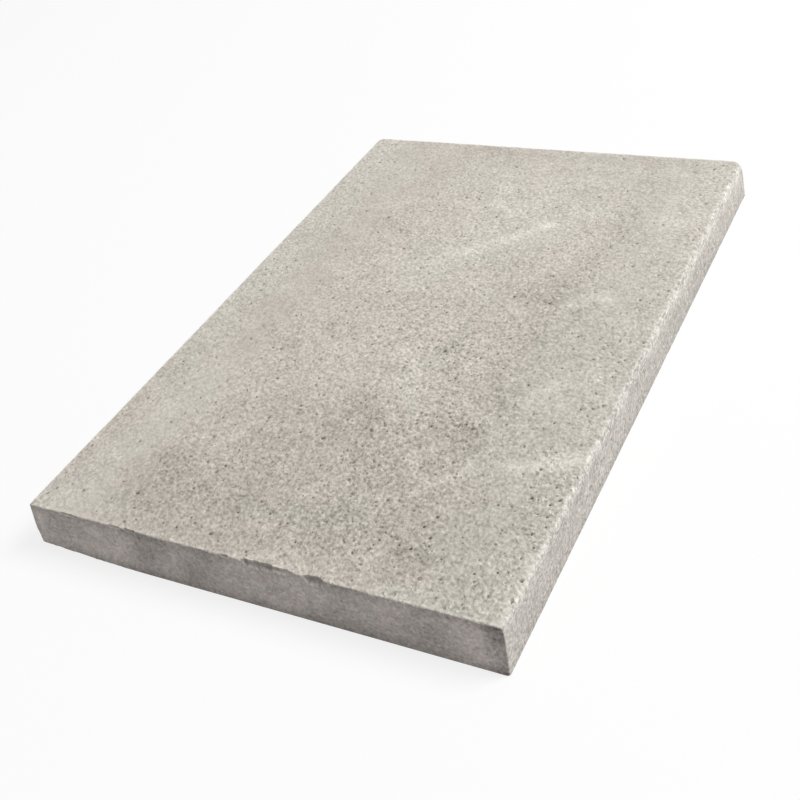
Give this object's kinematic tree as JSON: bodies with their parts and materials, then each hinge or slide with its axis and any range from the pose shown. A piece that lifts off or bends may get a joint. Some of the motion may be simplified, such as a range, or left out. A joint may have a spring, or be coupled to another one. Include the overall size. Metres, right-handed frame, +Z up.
{
  "type": "concrete paving slab",
  "caption": "Flat rectangular concrete paving slab with slightly tapered sides and one rounded long top edge, for laying on a bed of sand or mortar.",
  "frame": {"origin": "centre of the bed face, on the surface the slab lies on", "axes": "+Z up out of the walking face, +Y along the slab's length, +X across it towards the long edge that is rounded over"},
  "size_m": [0.3998, 0.5998, 0.04],
  "materials": {
    "concrete": "matte"
  },
  "bodies": {
    "root": {"paving_slab": "concrete"}
  },
  "joints": []
}
